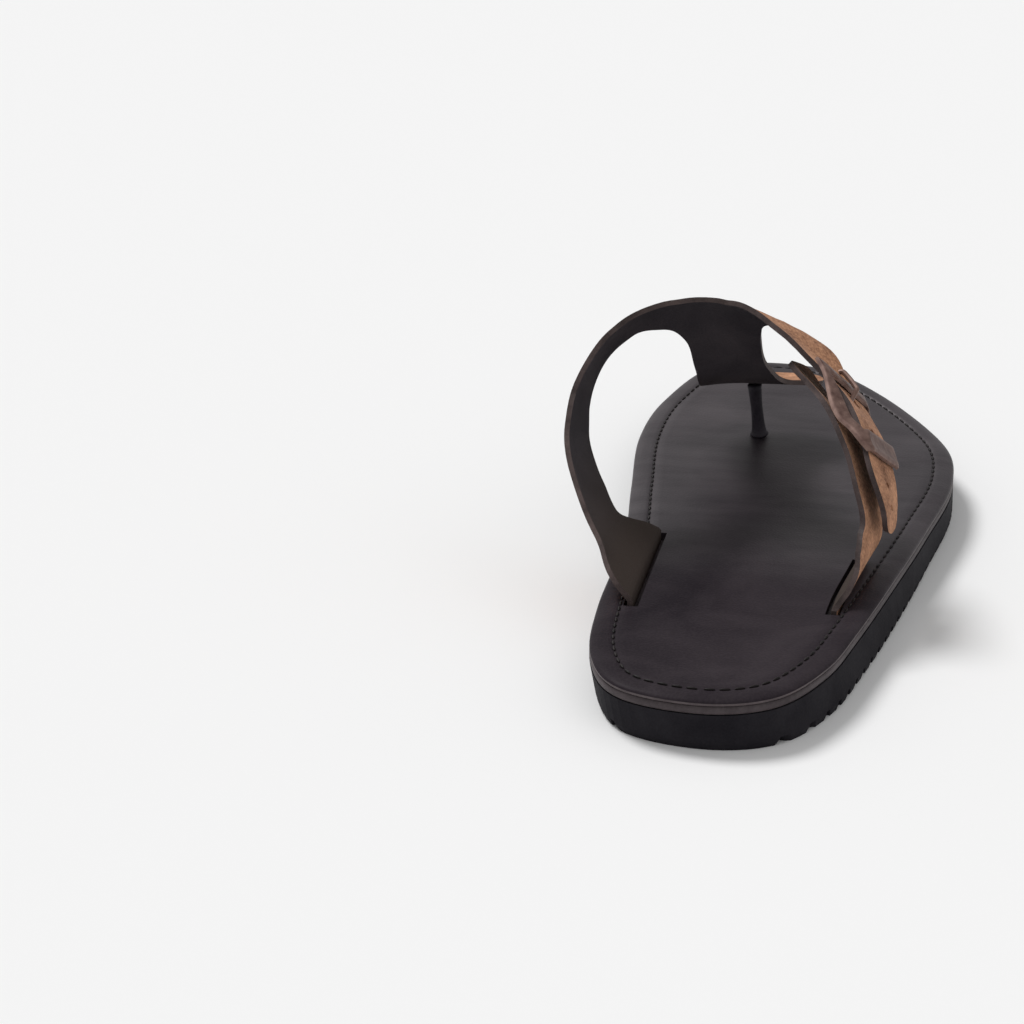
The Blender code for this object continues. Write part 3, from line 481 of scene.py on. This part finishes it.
# Hollows that wear has pressed in: heel, ball and big toe, with two folds behind the toes.
# x and y as shares of ball width and length, reach in metres, depth in metres
HOLLOWS = (
    (-0.02, 0.13, 0.026, 0.034, 0.00055), (0.18, 0.66, 0.024, 0.028, 0.00035),
    (-0.22, 0.70, 0.020, 0.026, 0.00040), (-0.20, 0.89, 0.012, 0.016, 0.00045),
    (0.02, 0.86, 0.008, 0.011, 0.00025), (0.16, 0.83, 0.007, 0.010, 0.00020),
)
for vert in footbed.data.vertices:
    spot = vert.co - HEEL
    if spot.z > FOOT - 0.0004:
        for x, y, wide, deep, sink in HOLLOWS:
            away = (((spot.x - x * BALL_WIDTH) / wide) ** 2
                    + ((spot.y - y * LENGTH) / deep) ** 2)
            vert.co.z -= sink * math.exp(-away)
    vert.co.z += spring(spot.y)
footbed.data.shade_smooth()
footbed.data.set_sharp_from_angle(angle=math.radians(50))
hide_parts("footbed")

# Stitches: waxed thread, sewn through the cover in the sunk line round the margin, each
# stitch a short bar with round ends that dives into the leather at both ends.
thread = grained("waxed_thread", (38, 32, 32), (16, 14, 15), 300, 2600, 0.5, 0.00006)
line = [Vector((p.x, p.y, 0.0)) for p in ring_of(0.0065, 20)]
lengths = [0.0]
for first, second in zip(line, line[1:] + line[:1]):
    lengths.append(lengths[-1] + (second - first).length)
PITCH, STITCH, THREAD = 0.0041, 0.0031, 0.00045
count = int(lengths[-1] / PITCH)


def on_line(distance):
    """A place along the stitch line."""
    distance %= lengths[-1]
    index = max(number for number in range(len(line)) if lengths[number] <= distance)
    share = (distance - lengths[index]) / (lengths[index + 1] - lengths[index])
    return line[index].lerp(line[(index + 1) % len(line)], share)


bm = bmesh.new()
for number in range(count):
    start = on_line(number * PITCH)
    end = on_line(number * PITCH + STITCH)
    along = end - start
    middle = (start + end) / 2
    made = bmesh.ops.create_uvsphere(bm, u_segments=8, v_segments=6, radius=THREAD)
    for vert in made["verts"]:
        stretch = vert.co.z
        vert.co.z *= along.length / 2 / THREAD
        vert.co.x *= 1.0 - 0.25 * abs(stretch) / THREAD
    turn_to = along.to_track_quat("Z", "Y").to_matrix().to_4x4()
    height = FOOT - 0.00035 + spring(middle.y)
    seat = Matrix.Translation((middle.x, middle.y, height))
    bmesh.ops.transform(bm, matrix=seat @ turn_to, verts=made["verts"])
stitches = piece_of(bm, "margin_stitches", thread)
stitches.data.shade_smooth()
settle(stitches)

# Upper: one sheet of suede cut to its pattern and laid over the last, flesh side out, a
# dark lining side in, and a painted cut edge between them. Its edge is slightly rounded.
suede = grained("brown_suede", (206, 154, 120), (118, 82, 62), 85, 1100, 0.95, 0.00030,
                False, 0.50, 0.05)
for socket, value in (("Sheen Weight", 0.05), ("Sheen Roughness", 0.5)):
    suede.node_tree.nodes["Principled BSDF"].inputs[socket].default_value = value
lining = grained("strap_lining", (68, 62, 65), (42, 38, 43), 34, 1700, 0.74, 0.00012)
nodes, links = lining.node_tree.nodes, lining.node_tree.links
place = nodes.new("ShaderNodeTexCoord")
split = nodes.new("ShaderNodeSeparateXYZ")
low_down = nodes.new("ShaderNodeMapRange")
low_down.inputs["From Min"].default_value = 0.044
low_down.inputs["From Max"].default_value = 0.022
nap = nodes.new("ShaderNodeMix")
nap.data_type = "RGBA"
nap.inputs[7].default_value = linear(62, 52, 47)
links.new(place.outputs["Object"], split.inputs["Vector"])
links.new(split.outputs["Z"], low_down.inputs["Value"])
links.new(low_down.outputs["Result"], nap.inputs["Factor"])
links.new(nodes["Color Ramp"].outputs["Color"], nap.inputs[6])
links.new(nap.outputs[2], nodes["Principled BSDF"].inputs["Base Color"])
edge = grained("strap_edge", (90, 77, 75), (58, 49, 48), 160, 1800, 0.6, 0.0001)


def open_curve(points, steps):
    """A smooth open curve through the points of a table."""
    vectors = [Vector(point) for point in points]
    vectors = [vectors[0] * 2 - vectors[1]] + vectors + [vectors[-1] * 2 - vectors[-2]]
    curve = []
    for index in range(1, len(vectors) - 2):
        curve += [spline(*vectors[index - 1:index + 3], step / steps) for step in range(steps)]
    return curve + [vectors[-2]]


# Main creases: from (turn, y) to (turn, y), with a depth and a reach in metres.
# They lie where the arch band folds over the foot, where the straps bend at the buckle and
# where they go down into the slots.
CREASES = (
    (-0.55, 0.475, -0.38, 0.548, 0.00022, 0.0048), (-0.20, 0.520, -0.26, 0.575, 0.00020, 0.0042),
    (0.06, 0.525, 0.10, 0.572, 0.00020, 0.0040), (-0.02, 0.600, 0.09, 0.612, 0.00024, 0.0036),
    (-0.22, 0.640, 0.08, 0.632, 0.00030, 0.0038), (-0.30, 0.700, 0.16, 0.694, 0.00030, 0.0040),
    (0.30, 0.490, 0.36, 0.548, 0.00018, 0.0040), (0.43, 0.468, 0.52, 0.532, 0.00018, 0.0040),
    (0.76, 0.352, 0.84, 0.410, 0.00018, 0.0040), (-1.62, 0.262, -1.50, 0.380, 0.00024, 0.0056),
    (-1.78, 0.226, -1.72, 0.372, 0.00018, 0.0050), (1.28, 0.280, 1.34, 0.378, 0.00020, 0.0050),
    (1.55, 0.256, 1.60, 0.372, 0.00018, 0.0050),
)


CREASE_TURN = 0.09
PATTERN_GRID = 0.0026
ROUNDED = 0.00035
RIPPLE = 0.00035


def crease(turn, y):
    """How deep the creases press the leather in at a place of its pattern."""
    total = 0.0
    spot = Vector((turn * CREASE_TURN, y))
    for turn_a, y_a, turn_b, y_b, depth, reach in CREASES:
        start = Vector((turn_a * CREASE_TURN, y_a * LENGTH))
        end = Vector((turn_b * CREASE_TURN, y_b * LENGTH))
        way = end - start
        share = min(max((spot - start).dot(way) / way.length_squared, 0.0), 1.0)
        away = (spot - start - way * share).length
        total += depth * math.exp(-(away / reach) ** 2)
    return total


def strap(name, edges, side, lift):
    """A strap from its pattern: cut flat, crossed by a grid, thickened and laid over."""
    curve = open_curve([(turn, at * LENGTH) for turn, at in edges], 5)
    tail = (FOOTBED + SLOT_RISE) / TURN
    first, final = curve[0], curve[-1]
    outline = [tuple(point) for point in curve]
    outline += [(final.x + side * tail, final.y), (first.x + side * tail, first.y)]
    bm = bmesh.new()
    bm.faces.new([bm.verts.new((turn * TURN, y, 0)) for turn, y in outline])
    spots = [vert.co.copy() for vert in bm.verts]
    for axis in (0, 1):
        low = min(spot[axis] for spot in spots)
        high = max(spot[axis] for spot in spots)
        normal = (1, 0, 0) if axis == 0 else (0, 1, 0)
        for number in range(int((high - low) / PATTERN_GRID)):
            place = low + PATTERN_GRID * (number + 0.5)
            bmesh.ops.bisect_plane(
                bm, geom=bm.verts[:] + bm.edges[:] + bm.faces[:], dist=1e-5,
                plane_co=(place, place, 0), plane_no=normal)
    bmesh.ops.bisect_plane(bm, geom=bm.verts[:] + bm.edges[:] + bm.faces[:], dist=1e-5,
                           plane_co=(side * 2 * TURN, 0, 0), plane_no=(1, 0, 0))
    bmesh.ops.remove_doubles(bm, verts=bm.verts, dist=0.0002)
    bmesh.ops.recalc_face_normals(bm, faces=bm.faces)
    if bm.faces[0].normal.z > 0:
        bmesh.ops.reverse_faces(bm, faces=bm.faces)
    grown = bmesh.ops.extrude_face_region(bm, geom=bm.faces[:])
    raised = {item for item in grown["geom"] if isinstance(item, bmesh.types.BMVert)}
    for vert in raised:
        vert.co.z += 1.0
    bmesh.ops.recalc_face_normals(bm, faces=bm.faces)
    for face in bm.faces:
        up = sum(1 for vert in face.verts if vert in raised)
        face.material_index = 1 if up == 0 else 0 if up == len(face.verts) else 2
    rims = [item for item in bm.edges
            if len({face.material_index for face in item.link_faces}) > 1]
    for vert in bm.verts:
        turn, y, layer = vert.co.x / TURN, vert.co.y, vert.co.z
        ripple = noise.noise(Vector((turn * 5.0, y * 60.0, 3.0))) * RIPPLE
        fade = 1.0 - smooth_step((abs(turn) - 1.5) / 0.4)
        vert.co = over_last(turn, y, lift(turn) + ripple * fade + layer * STRAP
                            - crease(turn, y) * fade)
    bmesh.ops.bevel(bm, geom=rims, offset=ROUNDED, offset_type="OFFSET", segments=2,
                    profile=0.5, affect="EDGES", clamp_overlap=True, material=2)
    bmesh.ops.dissolve_degenerate(bm, dist=0.00001, edges=bm.edges[:])
    piece = piece_of(bm, name, suede, lining, edge)
    piece.data.shade_smooth()
    piece.data.set_sharp_from_angle(angle=math.radians(60))
    return piece


upper_edges = REAR_EDGE + TIP_EDGE + OUTER_FRONT_EDGE + STEM_EDGE + INNER_FRONT_EDGE
upper_piece = strap("upper_sheet", upper_edges, -1, long_lift)

# Holes in the long strap: punched in a row from the buckle to the tip, the prong through
# the first of them.
PRONG_HOLE, STRETCH, SKEW = 0.535, 0.014, 0.130
WIDE_HOLE, SMALL_HOLE = 0.0022, 0.0010


def edge_at(rows, turn):
    """Where an edge of the long strap is at a turn."""
    for (low, low_y), (high, high_y) in zip(rows, rows[1:]):
        if low <= turn <= high:
            return (low_y + (high_y - low_y) * (turn - low) / (high - low)) * LENGTH
    return (rows[0] if turn < rows[0][0] else rows[-1])[1] * LENGTH


OUTER_REAR = open_curve([row for row in REAR_EDGE if row[0] > 0.1], 4)
OUTER_FRONT = open_curve(list(reversed(OUTER_FRONT_EDGE)), 4)


def across(turn, share):
    """A place on the long strap, from its rear edge (0) to its front edge (1)."""
    rear = Vector((turn, edge_at(OUTER_REAR, turn)))
    front = Vector((turn + SKEW, edge_at(OUTER_FRONT, turn + SKEW)))
    return rear + (front - rear) * share


punches = []
for at, radius in ((PRONG_HOLE, WIDE_HOLE), (PRONG_HOLE + STRETCH, WIDE_HOLE),
                   (0.640, SMALL_HOLE), (0.800, SMALL_HOLE), (0.890, SMALL_HOLE)):
    spot = across(at, 0.5)
    bm = bmesh.new()
    bmesh.ops.create_cone(bm, cap_ends=True, segments=24, radius1=radius, radius2=radius,
                          depth=0.009)
    aim = last_normal(*spot).to_track_quat("Z", "Y").to_matrix().to_4x4()
    seat = Matrix.Translation(over_last(spot.x, spot.y, STRAP / 2)) @ aim
    bmesh.ops.transform(bm, matrix=seat, verts=bm.verts)
    punches.append(piece_of(bm, "punch"))
cut_out(upper_piece, punches, "MANIFOLD")
settle(upper_piece, punches)
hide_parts("upper")

# Short strap: the same leather, out of the outer slot and up inside the long strap, where
# it holds the buckle's pin and ends in a rounded free tab.
short_piece = strap("buckle_strap_sheet", SHORT_STRAP, 1, tab_lift)
settle(short_piece)
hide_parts("buckle_strap")

# Toe post: a cord of rolled dark leather, tapered, spreading where it meets the footbed.
post_leather = grained("post_leather", (60, 55, 62), (38, 35, 41), 120, 1500, 0.5, 0.0001)
foot = Vector((POST_X, POST_Y, FOOT))
lean = over_last(*POST_TOP, long_lift(POST_TOP[0]) - GAP) - foot
tall = lean.length - 0.0006
profile = (
    (0.0, tall), (0.0021, tall), (0.0024, tall - 0.0003), (0.0022, tall - 0.002),
    (0.00205, tall - 0.005), (0.00192, tall * 0.55), (0.00200, tall * 0.35),
    (0.00220, tall * 0.18), (0.00255, tall * 0.07), (0.0030, 0.0009), (0.0030, 0.0004),
    (0.0019, 0.0004), (0.0018, -0.0020), (0.0, -0.0020),
)
bm = bmesh.new()
verts = [bm.verts.new((radius, 0, height)) for radius, height in profile]
for first, second in zip(verts, verts[1:]):
    bm.edges.new((first, second))
bmesh.ops.spin(bm, geom=bm.verts[:] + bm.edges[:], angle=math.tau, steps=32,
               axis=(0, 0, 1), cent=(0, 0, 0), use_merge=True, use_duplicate=False)
bmesh.ops.remove_doubles(bm, verts=bm.verts, dist=1e-6)
bmesh.ops.recalc_face_normals(bm, faces=bm.faces)
turn_to = lean.to_track_quat("Z", "Y").to_matrix().to_4x4()
bmesh.ops.transform(bm, matrix=Matrix.Translation(foot) @ turn_to, verts=bm.verts)
post_piece = piece_of(bm, "toe_post_cord", post_leather)
post_piece.data.shade_smooth()
settle(post_piece)
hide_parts("toe_post")

# Buckle: cast metal with an antiqued brown finish, worn brighter on its edges, the lighter
# edges partly a painted highlight. The frame rides over the long strap, its side bars bow
# down to the pin, and its plate is left bare but for its raised border and the two grooves
# at its inner end.
brass, brass_shader = shader_of("antique_brass", 0.52)
brass_shader.inputs["Metallic"].default_value = 0.42
brass_shader.inputs["Specular IOR Level"].default_value = 0.25
nodes, links = brass.node_tree.nodes, brass.node_tree.links
place = nodes.new("ShaderNodeTexCoord")
mottle = nodes.new("ShaderNodeTexNoise")
mottle.inputs["Scale"].default_value = 420.0
mottle.inputs["Detail"].default_value = 6.0
tarnish = nodes.new("ShaderNodeValToRGB")
tarnish.color_ramp.elements[0].position = 0.30
tarnish.color_ramp.elements[0].color = linear(88, 65, 59)
tarnish.color_ramp.elements[1].position = 0.75
tarnish.color_ramp.elements[1].color = linear(130, 105, 96)
# Convex edges, found by pointiness, get a lighter colour: partly wear of the antiqued finish,
# partly a painted highlight on the borders.
edges_of = nodes.new("ShaderNodeNewGeometry")
edge_wear_and_highlight = nodes.new("ShaderNodeMapRange")
edge_wear_and_highlight.inputs["From Min"].default_value = 0.53
edge_wear_and_highlight.inputs["From Max"].default_value = 0.70
rub_and_painted_highlight = nodes.new("ShaderNodeMix")
rub_and_painted_highlight.data_type = "RGBA"
rub_and_painted_highlight.inputs[7].default_value = linear(150, 124, 113)
dents = nodes.new("ShaderNodeBump")
dents.inputs["Strength"].default_value = 0.25
dents.inputs["Distance"].default_value = 0.00008
links.new(place.outputs["Object"], mottle.inputs["Vector"])
links.new(mottle.outputs["Fac"], tarnish.inputs["Fac"])
links.new(edges_of.outputs["Pointiness"], edge_wear_and_highlight.inputs["Value"])
links.new(edge_wear_and_highlight.outputs["Result"], rub_and_painted_highlight.inputs["Factor"])
links.new(tarnish.outputs["Color"], rub_and_painted_highlight.inputs[6])
links.new(rub_and_painted_highlight.outputs[2], brass_shader.inputs["Base Color"])
links.new(mottle.outputs["Fac"], dents.inputs["Height"])
links.new(dents.outputs["Normal"], brass_shader.inputs["Normal"])

TOP_BAR_AT, PLATE_END_AT, FRONT_SHARE, PIN_AT = 0.471, 0.752, 0.82, 0.600
BAR, METAL_WALL, FRAME_LIFT = 0.0029, 0.0013, STRAP + GAP * 1.3
# at, rear: reach out, in, sink out, in; front: reach out, in, sink out, in
FRAME_SIDES = (
    (0.00, 0.75, 0.40, 0.00, 0.00, 0.65, 0.30, 0.00, 0.00),
    (0.16, 1.10, 0.45, 0.50, 0.20, 0.85, 0.35, 0.35, 0.20),
    (0.40, 1.50, 0.50, 1.75, 0.85, 1.00, 0.40, 1.30, 0.90),
    (0.60, 1.45, 0.45, 1.90, 1.00, 1.00, 0.40, 1.35, 0.95),
    (0.76, 1.05, 0.35, 1.15, 0.30, 0.70, 0.30, 0.45, 0.20),
    (1.00, 0.55, 0.30, 0.30, 0.10, 0.35, 0.20, 0.10, 0.05),
)
RAILS = open_curve(FRAME_SIDES, 6)
ACROSS = (last_point(*across(PIN_AT, 1.0)) - last_point(*across(PIN_AT, 0.0))).normalized()


def buckle_seat(turn):
    """The middle of the strap under the buckle, and the way out from it."""
    here = last_point(*across(turn, 0.5))
    along = last_point(*across(turn + 0.012, 0.5)) - last_point(*across(turn - 0.012, 0.5))
    normal = along.cross(ACROSS).normalized()
    return here, normal if normal.dot(last_normal(*across(turn, 0.5))) > 0 else -normal


def strap_height(turn, share):
    """How far the strap curves out at a place across it."""
    here, normal = buckle_seat(turn)
    return (last_point(*across(turn, share)) - here).dot(normal)


def strap_edge(turn, share):
    """How far across from its middle a place on the strap is."""
    return (last_point(*across(turn, share)) - buckle_seat(turn)[0]).dot(ACROSS)


def bar_height(turn, away):
    """How far out a bar lies, straight across and clear of the strap's crown."""
    rear, front = strap_height(turn, 0.0), strap_height(turn, 1.0)
    near, far = strap_edge(turn, 0.0), strap_edge(turn, 1.0)
    crown = max(strap_height(turn, share) - (rear + (front - rear) * share)
                for share in (0.25, 0.5, 0.75))
    return rear + (front - rear) * (away - near) / (far - near) + max(crown, 0.0) + FRAME_LIFT


def frame_turn(at, share):
    """The turn of a place on the frame: its front side is the shorter one."""
    return TOP_BAR_AT + (PLATE_END_AT - TOP_BAR_AT) * at * (1 - (1 - FRONT_SHARE) * share)


def rail(at, front, inner):
    """A side rail at a depth between the outer edge (0) and the window's edge (1)."""
    index = max(number for number in range(len(RAILS) - 1) if RAILS[number][0] <= at)
    low, high = RAILS[index], RAILS[index + 1]
    row = low + (high - low) * ((at - low[0]) / (high[0] - low[0]))
    first = 1 + 4 * front
    reach = row[first] + (row[first + 1] - row[first]) * inner
    sink = row[first + 2] + (row[first + 3] - row[first + 2]) * inner
    away = strap_edge(frame_turn(at, front), float(front))
    return away + (reach if front else -reach) * BAR, sink * BAR


def bar_place(at, share, inner):
    """A place on the top bar or the plate, with the rails' sink at its ends."""
    (rear, rear_sink), (front, front_sink) = rail(at, 0, inner), rail(at, 1, inner)
    away = rear + (front - rear) * share
    turn = frame_turn(at, share)
    near, far = strap_edge(turn, 0.0), strap_edge(turn, 1.0)
    sink = (rear_sink * smooth_step((near - away) / (near - rear))
            + front_sink * smooth_step((away - far) / (front - far)))
    return turn, away, sink


STEPS = 30


def frame_loop(inner):
    """A loop round the frame: inner 0 is its outer edge and 1 the edge of the window."""
    start = FRAME_SIDES[1][0] * inner
    end = 1.0 - (1.0 - FRAME_SIDES[-2][0]) * inner
    loop = []
    for step in range(STEPS):
        at = start + (end - start) * step / STEPS
        loop.append((frame_turn(at, 0), *rail(at, 0, inner), 0.0))
    loop += [(*bar_place(end, step / STEPS, inner), 1.0) for step in range(STEPS)]
    for step in range(STEPS):
        at = end + (start - end) * step / STEPS
        loop.append((frame_turn(at, 1), *rail(at, 1, inner), 0.0))
    loop += [(*bar_place(start, 1 - step / STEPS, inner), 0.0) for step in range(STEPS)]
    return loop


def frame_point(turn, away, sink, height):
    """A place of the frame, seated over the strap."""
    here, normal = buckle_seat(turn)
    return here + ACROSS * away + normal * (bar_height(turn, away) - sink + height)


# Each depth of the frame's face: inner share, height as a share of the wall on a bar and
# on the plate, whose field is sunk inside a raised border.
FACE = (
    (0.00, 0.62, 0.75), (0.05, 0.86, 0.94), (0.14, 0.98, 1.00), (0.22, 1.00, 1.00),
    (0.28, 1.02, 0.84), (0.50, 1.04, 0.82), (0.72, 1.02, 0.84), (0.78, 1.00, 1.00),
    (0.86, 0.98, 1.00), (0.95, 0.86, 0.94), (1.00, 0.62, 0.75),
)
bm = bmesh.new()
loops = [frame_loop(inner) for inner, _, _ in FACE]
faces_up, faces_down = [], []
for loop, (inner, on_bar, on_plate) in zip(loops, FACE):
    upper, lower = [], []
    for number, (turn, away, sink, plate) in enumerate(loop):
        share = on_bar
        if plate:
            along = (number - STEPS) / STEPS
            field = smooth_step((along - 0.05) / 0.03) * smooth_step((0.97 - along) / 0.03)
            groove = max(math.exp(-((along - middle) / 0.018) ** 2) for middle in (0.15, 0.22))
            share = 1.0 + (on_plate - 1.0) * field if 0.1 < inner < 0.9 else on_plate
            share -= 0.12 * groove * (0.1 < inner < 0.9)
        upper.append(bm.verts.new(frame_point(turn, away, sink, share * METAL_WALL)))
        lower.append(bm.verts.new(frame_point(turn, away, sink, 0.0)))
    faces_up.append(upper)
    faces_down.append(lower)
count = len(faces_up[0])
for index in range(count):
    after = (index + 1) % count
    for near, far in zip(range(len(FACE) - 1), range(1, len(FACE))):
        bm.faces.new((faces_up[near][index], faces_up[near][after],
                      faces_up[far][after], faces_up[far][index]))
        bm.faces.new((faces_down[far][index], faces_down[far][after],
                      faces_down[near][after], faces_down[near][index]))
    bm.faces.new((faces_down[0][index], faces_down[0][after],
                  faces_up[0][after], faces_up[0][index]))
    bm.faces.new((faces_up[-1][index], faces_up[-1][after],
                  faces_down[-1][after], faces_down[-1][index]))
# The pin across the middle, held in the two side bars.
pin_line = [over_last(*across(PIN_AT, share), -(GAP + PIN)) for share in
            (0.0, 0.1, 0.2, 0.3, 0.4, 0.5, 0.6, 0.7, 0.8, 0.9, 1.0)]
at = (PIN_AT - TOP_BAR_AT) / (PLATE_END_AT - TOP_BAR_AT)
ends = [frame_point(frame_turn(at, front), *rail(at, front, 0.5), METAL_WALL / 2)
        for front in (0, 1)]
pin_line = [ends[0]] + pin_line + [ends[1]]
rounds = []
for number, spot in enumerate(pin_line):
    along = pin_line[min(number + 1, len(pin_line) - 1)] - pin_line[max(number - 1, 0)]
    made = bmesh.ops.create_circle(bm, cap_ends=False, segments=14, radius=PIN)
    turn_to = along.to_track_quat("Z", "Y").to_matrix().to_4x4()
    bmesh.ops.transform(bm, matrix=Matrix.Translation(spot) @ turn_to, verts=made["verts"])
    rounds.append(list(dict.fromkeys(
        edge for vert in made["verts"] for edge in vert.link_edges)))
for near, far in zip(rounds, rounds[1:]):
    bmesh.ops.bridge_loops(bm, edges=near + far)
for ring in (rounds[0], rounds[-1]):
    bmesh.ops.holes_fill(bm, edges=[edge for edge in ring if edge.is_boundary], sides=0)
bmesh.ops.recalc_face_normals(bm, faces=bm.faces)
cast_frame = piece_of(bm, "cast_frame", brass)
cast_frame.data.shade_smooth()
cast_frame.data.set_sharp_from_angle(angle=math.radians(48))
settle(cast_frame)
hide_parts("buckle_frame")

# Prong and rivet cap: the CAD solids, in the same antiqued metal, their edges broken.
for node in ("prong", "rivet_cap"):
    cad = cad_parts[node]
    cad.data.materials.clear()
    cad.data.materials.append(brass)
    soften = cad.modifiers.new("soft_edges", "BEVEL")
    soften.width = 0.00030
    soften.segments = 2
    soften.limit_method = "ANGLE"
    soften.angle_limit = math.radians(35)
